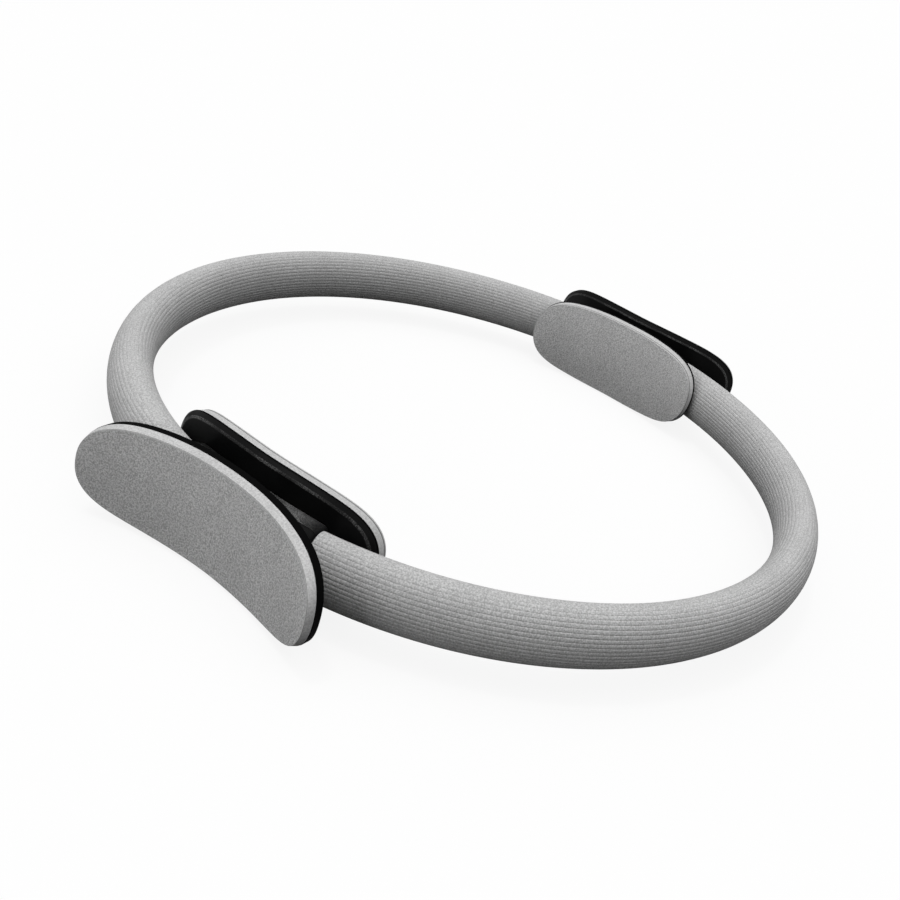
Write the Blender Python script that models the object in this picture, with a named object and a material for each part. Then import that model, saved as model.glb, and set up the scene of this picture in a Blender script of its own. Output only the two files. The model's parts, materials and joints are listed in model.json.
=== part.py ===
"""A squeeze ring for pilates: a sprung steel hoop in a ribbed foam sleeve, with a padded handle at each end.

The ring lies flat. X runs from the near handle (-X) to the far handle (+X), Y across the ring and
Z up. The origin is on the surface that the ring lies on, under the middle of the ring.

The real hoop bends all round. Here each side of it bends at four places: beside each handle, and
where each side's middle stretch begins and ends. Each stretch of sleeve between two of them turns
about an upright axis, and its round end sits in the hollow end of the next stretch. The ring is
closed where the right side's last end goes into the far handle: those two stay in line as it bends.
"""

import math

import bmesh
import bpy
from mathutils import Matrix, Vector

# The ring's plan: an oval that is a little longer between the handles.
RING_HALF_LENGTH = 0.1837
RING_HALF_WIDTH = 0.1794

# The foam sleeve, taller than it is thick, with ribs that run along it.
SLEEVE_HALF_THICKNESS = 0.0107
SLEEVE_HALF_HEIGHT = 0.0152
RIB_COUNT = 24
RIB_DEPTH = 0.0004

# The spring: a flat steel strip, on edge inside the sleeve.
SPRING_THICKNESS = 0.0016
SPRING_HEIGHT = 0.0200
SPRING_CLEARANCE = 0.0003
SPRING_END_SPACING = 0.0030

# The strap that joins the two strips inside a handle.
STRAP_THICKNESS = 0.0015
STRAP_HEIGHT = 0.0180
STRAP_HALF_LENGTH = 0.0360

# The bending places of the sleeve.
SIDE_STRETCH_HALF_ANGLE = math.radians(25.0)
HINGE_PAST_PLATE = 0.0052
ROUND_END_MARGIN = 0.0001
ROUND_END_CLEARANCE = 0.0003
SPRING_SHORT_OF_ROUND_END = 0.0003
SLEEVE_STEP = math.radians(7.5)

# The outer pad, a concave face away from the ring.
OUTER_FACE_RADIUS = 0.1380
OUTER_PAD_HALF_LENGTH = 0.0700
OUTER_PAD_THICKNESS = 0.0040
OUTER_PAD_EDGE_INSET = 0.0018
OUTER_PLATE_THICKNESS = 0.0036
OUTER_PLATE_BEVEL = 0.0030
OUTER_PLATE_RIM = 0.0024
OUTER_PLATE_BEYOND_RING = 0.0025
OUTER_LONG_EDGE_DROP = 0.0057
OUTER_END_POWER = 6.7
OUTER_EDGE_POWER = 2.3

# The inner pad, whose face follows the hoop a little more flatly.
INNER_FACE_RADIUS = 0.1750
INNER_PAD_HALF_LENGTH = 0.0599
INNER_PAD_THICKNESS = 0.0057
INNER_PAD_EDGE_INSET = 0.0016
INNER_PLATE_THICKNESS = 0.0025
INNER_PLATE_BEVEL = 0.0045
INNER_PLATE_RIM = 0.0011
INNER_PLATE_TO_SLEEVE = 0.0004
INNER_LONG_EDGE_DROP = 0.0059
INNER_END_POWER = 7.0
INNER_EDGE_POWER = 2.3

# Both pads and their plates.
PAD_HALF_HEIGHT = 0.0252
PLATE_MARGIN = 0.0004
PAD_TO_PLATE = 0.0003
REST_FLAT_HALF_LENGTH = 0.0080
OUTLINE_STEPS = 9
LONG_EDGE_STEPS = 3

# A pad's rounded edge from its face to its back, as (share of the inset, share of the thickness).
PAD_EDGE_SHAPE = ((1.0, 0.0), (0.5, 0.12), (0.14, 0.4), (0.0, 1.0))

# A plate's rounded back from its rim to its flat, as (share of the bevel, share of the depth behind the rim).
PLATE_BACK_SHAPE = ((0.0, 0.0), (0.3, 0.65), (1.0, 1.0))

# The moulded block between a handle's plates, split along the hoop.
BLOCK_HALF_LENGTH = 0.0400
BLOCK_HALF_HEIGHT = 0.0147
BLOCK_CROWN_MARGIN = 0.0023
BLOCK_END_ROUNDING = 0.0042
BLOCK_END_DROP = 0.0040
BLOCK_END_STEPS = 4
BLOCK_TO_SLEEVE = 0.0005
SHELL_CLEARANCE = 0.0003
BLOCK_STEPS = 10
CROWN_STEPS = 6

# The screws that draw a handle's two shells together.
SCREW_PLACES = (-0.0310, -0.0140, 0.0140, 0.0310)
SCREW_SHANK_RADIUS = 0.0016
SCREW_HEAD_RADIUS = 0.0032
SCREW_HEAD_HEIGHT = 0.0019
SCREW_HEAD_RIM = 0.0003
SCREW_HEAD_DEPTH = 0.0004
SCREW_REACH_PAST_STRAP = 0.0026
SCREW_TIP_LENGTH = 0.0010
SCREW_TIP_RADIUS = 0.0006
SCREW_SIDES = 12
SCREW_CLEARANCE = 0.0003
DRIVE_SLOT_WIDTH = 0.0007
DRIVE_SLOT_LENGTH = 0.0032
DRIVE_SLOT_DEPTH = 0.0010

# How finely round shapes are cut into flats or tried for clearance, and where an edge counts as sharp.
ROUND_END_SIDES = 32
DRUM_SIDES = 96
PLACE_STEPS = 360
SHARP_ANGLE = math.radians(35.0)

# How far a cutting shape reaches past what it cuts.
CUT_MARGIN = 0.0020

# Worked out from the values above.
OUTER_FORM = (OUTER_LONG_EDGE_DROP, OUTER_END_POWER, OUTER_EDGE_POWER)
INNER_FORM = (INNER_LONG_EDGE_DROP, INNER_END_POWER, INNER_EDGE_POWER)
PLATE_HALF_HEIGHT = PAD_HALF_HEIGHT + PLATE_MARGIN
MID_HEIGHT = PLATE_HALF_HEIGHT
ROUND_END_RADIUS = SLEEVE_HALF_THICKNESS + ROUND_END_MARGIN
HOLLOW_END_RADIUS = ROUND_END_RADIUS + ROUND_END_CLEARANCE
HINGE_Y = INNER_PAD_HALF_LENGTH + PLATE_MARGIN + HINGE_PAST_PLATE
HANDLE_HINGE_ANGLE = math.asin(HINGE_Y / RING_HALF_WIDTH)
SIDE_HINGE_ANGLE = math.pi / 2 - SIDE_STRETCH_HALF_ANGLE
BLOCK_ANGLE = math.asin(BLOCK_HALF_LENGTH / RING_HALF_WIDTH)
SPRING_POCKET = SPRING_THICKNESS / 2 + SPRING_CLEARANCE
STRAP_INNER = SPRING_POCKET
STRAP_OUTER = STRAP_INNER + STRAP_THICKNESS
STRAP_POCKET = STRAP_OUTER + SPRING_CLEARANCE


def ring_point(angle, outward=0.0, height=0.0):
    """A point of the ring, so far outward from its centreline and over its middle plane."""
    normal = ring_normal(angle)
    x = RING_HALF_LENGTH * math.cos(angle) + outward * normal.x
    y = RING_HALF_WIDTH * math.sin(angle) + outward * normal.y
    return Vector((x, y, MID_HEIGHT + height))


def ring_normal(angle):
    """The direction square to the centreline, away from the ring's middle."""
    return Vector((RING_HALF_WIDTH * math.cos(angle), RING_HALF_LENGTH * math.sin(angle), 0.0)).normalized()


def ring_step(angle, distance):
    """The angle that a distance along the centreline covers near this angle."""
    speed = math.hypot(RING_HALF_LENGTH * math.sin(angle), RING_HALF_WIDTH * math.cos(angle))
    return distance / speed


def spread(start, end, steps):
    """Evenly spaced values from start to end, both included."""
    return [start + (end - start) * i / steps for i in range(steps + 1)]


def loft(loops):
    """A closed skin through loops of equally many points, with a flat face on each end."""
    mesh = bmesh.new()
    rings = [[mesh.verts.new(point) for point in loop] for loop in loops]
    count = len(rings[0])
    for ring, following in zip(rings, rings[1:]):
        for i in range(count):
            j = (i + 1) % count
            mesh.faces.new((ring[i], ring[j], following[j], following[i]))
    mesh.faces.new(rings[0])
    mesh.faces.new(rings[-1])
    bmesh.ops.recalc_face_normals(mesh, faces=mesh.faces)
    return mesh


def sweep(section, angles):
    """A section of (outward, height) points, carried along the ring through the angles."""
    return loft([[ring_point(angle, outward, height) for outward, height in section] for angle in angles])


def rectangle(inner, outer, half_height):
    """A section between two distances from the centreline."""
    return [(inner, -half_height), (outer, -half_height), (outer, half_height), (inner, half_height)]


def ribbed_section():
    """The sleeve's oval section, with a crest and a groove for each rib."""
    points = []
    for i in range(2 * RIB_COUNT):
        turn = math.pi * i / RIB_COUNT
        drop = RIB_DEPTH * (i % 2)
        outward = (SLEEVE_HALF_THICKNESS - drop) * math.cos(turn)
        height = (SLEEVE_HALF_HEIGHT - drop) * math.sin(turn)
        points.append((outward, height))
    return points


def prism(outline, low, high):
    """An upright solid on an outline of (x, y) points."""
    return loft([[Vector((x, y, z)) for x, y in outline] for z in (low, high)])


def circle(centre, radius, sides):
    """The corners of a many-sided circle in plan."""
    turns = [2 * math.pi * i / sides for i in range(sides)]
    return [(centre.x + radius * math.cos(a), centre.y + radius * math.sin(a)) for a in turns]


def boolean(target, tool, operation):
    """Joins a tool mesh to the target mesh, or cuts it out. Both meshes are used up."""
    holders = []
    for role, mesh in (("target", target), ("tool", tool)):
        data = bpy.data.meshes.new(role)
        mesh.to_mesh(data)
        mesh.free()
        holder = bpy.data.objects.new(role, data)
        bpy.context.collection.objects.link(holder)
        holders.append(holder)
    modifier = holders[0].modifiers.new("step", "BOOLEAN")
    modifier.operation = operation
    modifier.solver = "EXACT"
    modifier.object = holders[1]
    graph = bpy.context.evaluated_depsgraph_get()
    result = bmesh.new()
    result.from_object(holders[0], graph)
    for holder in holders:
        data = holder.data
        bpy.data.objects.remove(holder)
        bpy.data.meshes.remove(data)
    return result


def cut(target, tool):
    return boolean(target, tool, "DIFFERENCE")


def join(target, tool):
    return boolean(target, tool, "UNION")


def hollow_end_cutter(angle):
    """The upright cylinder that makes room for the next stretch's round end."""
    outline = circle(ring_point(angle), HOLLOW_END_RADIUS, ROUND_END_SIDES)
    low = MID_HEIGHT - SLEEVE_HALF_HEIGHT - CUT_MARGIN
    high = MID_HEIGHT + SLEEVE_HALF_HEIGHT + CUT_MARGIN
    return prism(outline, low, high)


def round_end_cutter(angle, direction):
    """What lies past a hinge and outside its round end. The direction is that of growing angles or not."""
    normal = ring_normal(angle)
    along = Vector((-normal.y, normal.x, 0.0)) * direction
    centre = ring_point(angle)
    wide = HOLLOW_END_RADIUS + 2 * CUT_MARGIN
    turns = spread(math.pi / 2, -math.pi / 2, ROUND_END_SIDES // 2)
    outline = [(ROUND_END_RADIUS * math.cos(a), ROUND_END_RADIUS * math.sin(a)) for a in turns]
    outline += [(0.0, -wide), (wide, -wide), (wide, wide), (0.0, wide)]
    points = [centre + along * forward + normal * sideways for forward, sideways in outline]
    low = MID_HEIGHT - SLEEVE_HALF_HEIGHT - CUT_MARGIN
    high = MID_HEIGHT + SLEEVE_HALF_HEIGHT + CUT_MARGIN
    return prism([(point.x, point.y) for point in points], low, high)


def stretch_angles(start, end, start_kind, end_kind):
    """Where a stretch has its sections, for the sleeve and for the spring strip inside it.

    The stretch runs between two angles, of which start is the smaller. An end is round (it reaches
    back past its hinge), hollow (it makes room for a round end) or flat. Both pieces share their
    sections, so that the strip keeps its clearance all along its bore.
    """
    sleeve_from, spring_from = end_angles(start, start_kind, -1)
    sleeve_to, spring_to = end_angles(end, end_kind, 1)
    low = max(start, spring_from)
    high = min(end, spring_to)
    steps = max(1, math.ceil((high - low) / SLEEVE_STEP))
    shared = {spring_from, *spread(low, high, steps), spring_to}
    return sorted(shared | {sleeve_from, sleeve_to}), sorted(shared)


def end_angles(angle, kind, direction):
    """Where the sleeve and the spring strip end, before the sleeve's end is shaped."""
    if kind == "round":
        sleeve_past = ring_step(angle, ROUND_END_RADIUS + CUT_MARGIN)
        spring_past = ring_step(angle, ROUND_END_RADIUS - SPRING_SHORT_OF_ROUND_END)
        return angle + direction * sleeve_past, angle + direction * spring_past
    if kind == "hollow":
        spring_short = ring_step(angle, HOLLOW_END_RADIUS + SPRING_SHORT_OF_ROUND_END)
        return angle, angle - direction * spring_short
    return angle, angle


def sleeve_on(angles, start, end, start_kind, end_kind):
    """A stretch of ribbed sleeve with its bore, and its ends shaped."""
    past = ring_step(start, CUT_MARGIN)
    bore_angles = [angles[0] - past, *angles, angles[-1] + past]
    bore = rectangle(-SPRING_POCKET, SPRING_POCKET, SPRING_HEIGHT / 2 + SPRING_CLEARANCE)
    sleeve = cut(sweep(ribbed_section(), angles), sweep(bore, bore_angles))
    for angle, kind, direction in ((start, start_kind, -1), (end, end_kind, 1)):
        if kind == "round":
            sleeve = cut(sleeve, round_end_cutter(angle, direction))
        if kind == "hollow":
            sleeve = cut(sleeve, hollow_end_cutter(angle))
    return sleeve


def spring_on(angles):
    """A stretch of the spring strip."""
    half = SPRING_THICKNESS / 2
    return sweep(rectangle(-half, half, SPRING_HEIGHT / 2), angles)


def stretch(start, end, start_kind, end_kind):
    """A stretch of sleeve and the spring strip inside it."""
    sleeve_angles, spring_angles = stretch_angles(start, end, start_kind, end_kind)
    return sleeve_on(sleeve_angles, start, end, start_kind, end_kind), spring_on(spring_angles)


def outline_places(half_length, half_height, long_edge_drop, end_power, edge_power):
    """A pad's outline seen square on, as (along, height) points.

    Each long edge has a short flat at its middle and falls away from there like a flat arch, by the
    drop at its ends. The powers say how far the ends are from a plain ellipse.
    """
    turns = [math.pi / 2 * (i + 0.5) / OUTLINE_STEPS for i in range(OUTLINE_STEPS)]
    shares = [math.cos(turn) ** (2 / end_power) for turn in turns]
    shares += spread(shares[-1], 0.0, LONG_EDGE_STEPS)[1:]
    quarter = []
    for share in shares:
        along = REST_FLAT_HALF_LENGTH + (half_length - REST_FLAT_HALF_LENGTH) * share
        arch = half_height - long_edge_drop * share**2
        quarter.append((along, arch * (1 - share**end_power) ** (1 / edge_power)))
    top = [(-along, height) for along, height in quarter] + quarter[::-1]
    return top + [(along, -height) for along, height in top[::-1]]


def curved_slab(layers, axis_distance, bulge):
    """A slab bent about an upright axis.

    Each layer is (radius about the axis, half length, half height, form), where the form is the long
    edges' drop and the two powers. The axis is axis_distance from the ring's middle along the
    handle's own direction, and the slab lies at a bulge of 1 outward of its axis, or at -1 inward of it.
    """
    mesh = bmesh.new()
    rings = []
    for radius, half_length, half_height, form in layers:
        ring = []
        for along, height in outline_places(half_length, half_height, *form):
            turn = along / radius
            x = axis_distance + bulge * radius * math.cos(turn)
            ring.append(mesh.verts.new((x, radius * math.sin(turn), MID_HEIGHT + height)))
        rings.append(ring)
    count = len(rings[0])
    for ring, following in zip(rings, rings[1:]):
        for i in range(count):
            j = (i + 1) % count
            mesh.faces.new((ring[i], ring[j], following[j], following[i]))
    for ring in (rings[0], rings[-1]):
        for i in range(count // 2 - 1):
            mesh.faces.new((ring[i], ring[i + 1], ring[count - 2 - i], ring[count - 1 - i]))
    bmesh.ops.recalc_face_normals(mesh, faces=mesh.faces)
    return mesh


def inner_plate_axis():
    """Where the inner plate's axis lies: the back of the plate then just clears the sleeve's inner side."""
    sleeve = [ring_point(angle, -SLEEVE_HALF_THICKNESS) for angle in spread(0.0, math.pi / 3, PLACE_STEPS)]
    length = INNER_PAD_HALF_LENGTH + PLATE_MARGIN
    limits = []
    for inset_share, depth_share in PLATE_BACK_SHAPE:
        depth = INNER_PLATE_RIM + depth_share * (INNER_PLATE_THICKNESS - INNER_PLATE_RIM)
        radius = INNER_PLATE_FRONT_RADIUS + depth
        reach = radius * math.sin((length - inset_share * INNER_PLATE_BEVEL) / radius)
        limits += [point.x - math.sqrt(radius**2 - point.y**2) for point in sleeve if point.y <= reach]
    return min(limits) - INNER_PLATE_TO_SLEEVE


# Where each plate's surfaces lie, as radii about the upright axis that the plate is bent round.
OUTER_PLATE_FRONT_RADIUS = OUTER_FACE_RADIUS + OUTER_PAD_THICKNESS + PAD_TO_PLATE
OUTER_PLATE_BACK_RADIUS = OUTER_PLATE_FRONT_RADIUS + OUTER_PLATE_THICKNESS
OUTER_AXIS = RING_HALF_LENGTH + OUTER_PLATE_BEYOND_RING + OUTER_PLATE_BACK_RADIUS
INNER_PLATE_FRONT_RADIUS = INNER_FACE_RADIUS + INNER_PAD_THICKNESS + PAD_TO_PLATE
INNER_AXIS = inner_plate_axis()


def pad_layers(face_radius, thickness, edge_inset, half_length, form):
    """A foam pad: a face drawn in from the rim, a rounded edge and a flat back."""
    shape = []
    for inset_share, depth_share in PAD_EDGE_SHAPE:
        inset = edge_inset * inset_share
        radius = face_radius + thickness * depth_share
        shape.append((radius, half_length - inset, PAD_HALF_HEIGHT - inset, form))
    return shape


def plate_layers(front_radius, thickness, rim, bevel, half_length, form):
    """A moulded plate: a straight rim behind the pad, then a back that rounds off to a flat."""
    length = half_length + PLATE_MARGIN
    shape = [(front_radius, length, PLATE_HALF_HEIGHT, form)]
    for inset_share, depth_share in PLATE_BACK_SHAPE:
        inset = bevel * inset_share
        radius = front_radius + rim + depth_share * (thickness - rim)
        shape.append((radius, length - inset, PLATE_HALF_HEIGHT - inset, form))
    return shape


def outer_pad():
    layers = pad_layers(
        OUTER_FACE_RADIUS, OUTER_PAD_THICKNESS, OUTER_PAD_EDGE_INSET,
        OUTER_PAD_HALF_LENGTH, OUTER_FORM,
    )
    return curved_slab(layers, OUTER_AXIS, -1)


def inner_pad():
    layers = pad_layers(
        INNER_FACE_RADIUS, INNER_PAD_THICKNESS, INNER_PAD_EDGE_INSET,
        INNER_PAD_HALF_LENGTH, INNER_FORM,
    )
    return curved_slab(layers, INNER_AXIS, 1)


def outer_plate():
    layers = plate_layers(
        OUTER_PLATE_FRONT_RADIUS, OUTER_PLATE_THICKNESS, OUTER_PLATE_RIM, OUTER_PLATE_BEVEL,
        OUTER_PAD_HALF_LENGTH, OUTER_FORM,
    )
    return curved_slab(layers, OUTER_AXIS, -1)


def inner_plate():
    layers = plate_layers(
        INNER_PLATE_FRONT_RADIUS, INNER_PLATE_THICKNESS, INNER_PLATE_RIM, INNER_PLATE_BEVEL,
        INNER_PAD_HALF_LENGTH, INNER_FORM,
    )
    return curved_slab(layers, INNER_AXIS, 1)


def block_reach(side):
    """How far from the centreline the outward (1) or inward (-1) half of the block runs into its plate."""
    if side > 0:
        axis, radius = OUTER_AXIS, OUTER_PLATE_FRONT_RADIUS + OUTER_PLATE_RIM
    else:
        axis, radius = INNER_AXIS, INNER_PLATE_FRONT_RADIUS + INNER_PLATE_RIM
    reaches = []
    for angle in spread(0.0, BLOCK_ANGLE, BLOCK_STEPS):
        point = ring_point(angle)
        plate_x = axis - side * math.sqrt(radius**2 - point.y**2)
        reaches.append(side * (plate_x - point.x))
    return max(reaches) + CUT_MARGIN


def block_half(side):
    """Half of the block between the plates, on the outward (1) or the inward (-1) side of the hoop."""
    crown_half_width = max(block_reach(1), block_reach(-1)) + BLOCK_CROWN_MARGIN
    places = spread(SHELL_CLEARANCE / 2, block_reach(side), CROWN_STEPS)
    crown = [(side * n, BLOCK_HALF_HEIGHT * math.sqrt(1 - (n / crown_half_width) ** 2)) for n in places]
    section = crown + [(outward, -height) for outward, height in crown[::-1]]
    rounding = ring_step(0.0, BLOCK_END_ROUNDING)
    full = BLOCK_ANGLE - rounding
    drop = BLOCK_END_DROP / BLOCK_HALF_HEIGHT
    ends = []
    for turn in spread(0.0, math.pi / 2, BLOCK_END_STEPS)[1:]:
        ends.append((full + rounding * math.sin(turn), 1 - drop * (1 - math.cos(turn))))
    stations = [(-angle, scale) for angle, scale in reversed(ends)]
    stations += [(angle, 1.0) for angle in spread(-full, full, BLOCK_STEPS)]
    stations += ends
    loops = [[ring_point(angle, n, height * scale) for n, height in section] for angle, scale in stations]
    return loft(loops)


def pocket(inner, outer, half_height, half_length):
    """Room for a strip along the hoop, with a little past its ends."""
    reach = math.asin(half_length / RING_HALF_WIDTH)
    return sweep(rectangle(inner, outer, half_height), spread(-reach, reach, BLOCK_STEPS))


def upright_drum(axis_distance, radius):
    """A tall many-sided cylinder about the axis that a plate is bent round."""
    outline = circle(Vector((axis_distance, 0.0, 0.0)), radius, DRUM_SIDES)
    return prism(outline, -CUT_MARGIN, 2 * MID_HEIGHT + CUT_MARGIN)


def screw_frame(place):
    """A screw's own axes: its length runs outward, square to the hoop at its place along the handle."""
    angle = math.asin(place / RING_HALF_WIDTH)
    outward = ring_normal(angle)
    up = Vector((0.0, 0.0, 1.0))
    across = up.cross(outward)
    frame = Matrix((across, up, outward)).transposed().to_4x4()
    frame.translation = ring_point(angle)
    return frame


def screw_head_top(frame):
    """Where a screw's head ends along its own axis: all of it lies below the inner plate's front."""
    plate_axis = Vector((INNER_AXIS, 0.0))
    outward = frame.col[2].xy
    fronts = []
    for sideways in (-SCREW_HEAD_RADIUS, 0.0, SCREW_HEAD_RADIUS):
        start = frame.translation.xy + frame.col[0].xy * sideways - plate_axis
        along = start.dot(outward)
        fronts.append(math.sqrt(along**2 - start.length_squared + INNER_PLATE_FRONT_RADIUS**2) - along)
    return max(fronts) + SCREW_HEAD_DEPTH


def turned(profile, frame, sides):
    """A solid of revolution: (radius, along) points about the frame's third axis, closed at both ends."""
    loops = []
    for radius, along in profile:
        turns = [2 * math.pi * i / sides for i in range(sides)]
        loops.append([frame @ Vector((radius * math.cos(a), radius * math.sin(a), along)) for a in turns])
    return loft(loops)


def screw(place):
    """A countersunk screw with a cross slot in its head."""
    frame = screw_frame(place)
    top = screw_head_top(frame)
    tip = STRAP_POCKET + SCREW_REACH_PAST_STRAP
    profile = [
        (SCREW_HEAD_RADIUS, top),
        (SCREW_HEAD_RADIUS, top + SCREW_HEAD_RIM),
        (SCREW_SHANK_RADIUS, top + SCREW_HEAD_HEIGHT),
        (SCREW_SHANK_RADIUS, tip - SCREW_TIP_LENGTH),
        (SCREW_TIP_RADIUS, tip),
    ]
    body = turned(profile, frame, SCREW_SIDES)
    long_side = DRIVE_SLOT_LENGTH / 2
    short_side = DRIVE_SLOT_WIDTH / 2
    levels = (top - CUT_MARGIN, top + DRIVE_SLOT_DEPTH)
    for x, y in ((long_side, short_side), (short_side, long_side)):
        corners = [(-x, -y), (x, -y), (x, y), (-x, y)]
        slot = loft([[frame @ Vector((*corner, level)) for corner in corners] for level in levels])
        body = cut(body, slot)
    return body


def screw_hole(place):
    """The room for a screw, open on the head's side."""
    frame = screw_frame(place)
    top = screw_head_top(frame)
    head = SCREW_HEAD_RADIUS + SCREW_CLEARANCE
    shank = SCREW_SHANK_RADIUS + SCREW_CLEARANCE
    profile = [
        (head, top - INNER_PAD_THICKNESS / 2),
        (head, top + SCREW_HEAD_RIM + SCREW_CLEARANCE),
        (shank, top + SCREW_HEAD_HEIGHT + SCREW_CLEARANCE),
        (shank, STRAP_POCKET + SCREW_REACH_PAST_STRAP + SCREW_CLEARANCE),
    ]
    return turned(profile, frame, SCREW_SIDES)


def drilled(mesh, places):
    """The mesh with a screw hole at each place."""
    for place in places:
        mesh = cut(mesh, screw_hole(place))
    return mesh


def outer_shell():
    """The outer plate with its half of the block, pocketed for the strips and the strap."""
    middle = OUTER_PLATE_FRONT_RADIUS + OUTER_PLATE_RIM
    block = cut(block_half(1), upright_drum(OUTER_AXIS, middle))
    shell = join(outer_plate(), block)
    long_way = BLOCK_HALF_LENGTH + BLOCK_END_ROUNDING
    spring_room = SPRING_HEIGHT / 2 + SPRING_CLEARANCE
    shell = cut(shell, pocket(-CUT_MARGIN, SPRING_POCKET, spring_room, long_way))
    strap_room = STRAP_HEIGHT / 2 + SPRING_CLEARANCE
    strap_way = STRAP_HALF_LENGTH + SPRING_CLEARANCE
    shell = cut(shell, pocket(0.0, STRAP_POCKET, strap_room, strap_way))
    return drilled(shell, SCREW_PLACES)


def inner_shell():
    """The inner plate with its half of the block, pocketed for the strips."""
    middle = INNER_PLATE_FRONT_RADIUS + INNER_PLATE_RIM
    block = cut(block_half(-1), upright_drum(INNER_AXIS, middle))
    shell = join(inner_plate(), block)
    long_way = BLOCK_HALF_LENGTH + BLOCK_END_ROUNDING
    spring_room = SPRING_HEIGHT / 2 + SPRING_CLEARANCE
    shell = cut(shell, pocket(-SPRING_POCKET, CUT_MARGIN, spring_room, long_way))
    return drilled(shell, SCREW_PLACES)


def strap():
    """The curved steel strap that bridges the two strips' ends."""
    reach = math.asin(STRAP_HALF_LENGTH / RING_HALF_WIDTH)
    bar = sweep(rectangle(STRAP_INNER, STRAP_OUTER, STRAP_HEIGHT / 2), spread(-reach, reach, BLOCK_STEPS))
    return drilled(bar, SCREW_PLACES)


def handle_ends():
    """The sleeve stretch that stays with the handle, and the spring strip from there into the block."""
    start = BLOCK_ANGLE + ring_step(BLOCK_ANGLE, BLOCK_TO_SLEEVE)
    sleeve_angles, spring_angles = stretch_angles(start, HANDLE_HINGE_ANGLE, "flat", "hollow")
    sleeve = sleeve_on(sleeve_angles, start, HANDLE_HINGE_ANGLE, "flat", "hollow")
    first = math.asin(SPRING_END_SPACING / 2 / RING_HALF_WIDTH)
    spring = spring_on(spread(first, start, BLOCK_STEPS // 2) + spring_angles[1:])
    return sleeve, drilled(spring, [place for place in SCREW_PLACES if place > 0])


def placed(mesh, mirror_x, mirror_y):
    """A mesh made for the far handle or the left side, mirrored to its own place."""
    scale = Matrix.Diagonal((-1.0 if mirror_x else 1.0, -1.0 if mirror_y else 1.0, 1.0, 1.0))
    bmesh.ops.transform(mesh, matrix=scale, verts=mesh.verts)
    if mirror_x != mirror_y:
        bmesh.ops.reverse_faces(mesh, faces=mesh.faces)
    return mesh


def material(name, colour, roughness, metallic=0.0):
    made = bpy.data.materials.new(name)
    made.use_nodes = True
    surface = made.node_tree.nodes["Principled BSDF"]
    surface.inputs["Base Color"].default_value = (*colour, 1.0)
    surface.inputs["Roughness"].default_value = roughness
    surface.inputs["Metallic"].default_value = metallic
    made.diffuse_color = (*colour, 1.0)
    return made


def carrier(name, place, parent=None):
    """An empty on a joint's axis, which carries the pieces that turn with it."""
    empty = bpy.data.objects.new(name, None)
    bpy.context.collection.objects.link(empty)
    empty.empty_display_size = SLEEVE_HALF_HEIGHT
    empty["place"] = list(place)
    if parent is None:
        empty.location = place
    else:
        empty.parent = parent
        empty.location = place - Vector(parent["place"])
    return empty


def add_piece(name, mesh, parent, look):
    """Makes the named object from a mesh in the ring's own frame, and hangs it on its carrier."""
    bmesh.ops.transform(mesh, matrix=Matrix.Translation(-Vector(parent["place"])), verts=mesh.verts)
    bmesh.ops.triangulate(mesh, faces=mesh.faces)
    data = bpy.data.meshes.new(name)
    mesh.to_mesh(data)
    mesh.free()
    data.materials.clear()
    data.materials.append(look)
    data.shade_smooth()
    data.set_sharp_from_angle(angle=SHARP_ANGLE)
    piece = bpy.data.objects.new(name, data)
    bpy.context.collection.objects.link(piece)
    piece.parent = parent
    return piece


def build_handle(word, mirror_x, parent, end_parents, looks):
    """All the pieces of one handle. The ends of the sleeve and strip on each side have their own parents."""
    makers = (
        ("outer_shell", outer_shell, "shell"), ("inner_shell", inner_shell, "shell"),
        ("outer_pad", outer_pad, "pad"), ("inner_pad", inner_pad, "pad"),
        ("splice_strap", strap, "steel"),
    )
    for name, make, look in makers:
        add_piece(f"{word}_{name}", placed(make(), mirror_x, False), parent, looks[look])
    for number, place in enumerate(SCREW_PLACES, start=1):
        mesh = placed(screw(place), mirror_x, False)
        add_piece(f"{word}_handle_screw_{number}", mesh, parent, looks["screw"])
    for side, mirror_y in (("left", False), ("right", True)):
        sleeve, spring = handle_ends()
        end = end_parents[side]
        add_piece(f"{word}_{side}_sleeve_end", placed(sleeve, mirror_x, mirror_y), end, looks["foam"])
        add_piece(f"{word}_{side}_spring_end", placed(spring, mirror_x, mirror_y), end, looks["steel"])


def build_side(side, mirror_y, near_handle, looks):
    """The three moving stretches of one side. Returns the carrier of the last one."""
    flip = -1.0 if mirror_y else 1.0
    angles = {
        "near": math.pi - HANDLE_HINGE_ANGLE,
        "near_side": math.pi - SIDE_HINGE_ANGLE,
        "far_side": SIDE_HINGE_ANGLE,
        "far": HANDLE_HINGE_ANGLE,
    }
    near = carrier(f"{side}_near_stretch", ring_point(flip * angles["near"]), near_handle)
    middle = carrier(f"{side}_side_stretch", ring_point(flip * angles["near_side"]), near)
    far = carrier(f"{side}_far_stretch", ring_point(flip * angles["far_side"]), middle)
    for word, parent, mirror_x in (("near", near, True), ("far", far, False)):
        sleeve, spring = stretch(HANDLE_HINGE_ANGLE, SIDE_HINGE_ANGLE, "round", "round")
        add_piece(f"{word}_{side}_sleeve", placed(sleeve, mirror_x, mirror_y), parent, looks["foam"])
        add_piece(f"{word}_{side}_spring", placed(spring, mirror_x, mirror_y), parent, looks["steel"])
    sleeve, spring = stretch(SIDE_HINGE_ANGLE, math.pi - SIDE_HINGE_ANGLE, "hollow", "hollow")
    add_piece(f"{side}_side_sleeve", placed(sleeve, False, mirror_y), middle, looks["foam"])
    add_piece(f"{side}_side_spring", placed(spring, False, mirror_y), middle, looks["steel"])
    return far


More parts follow.
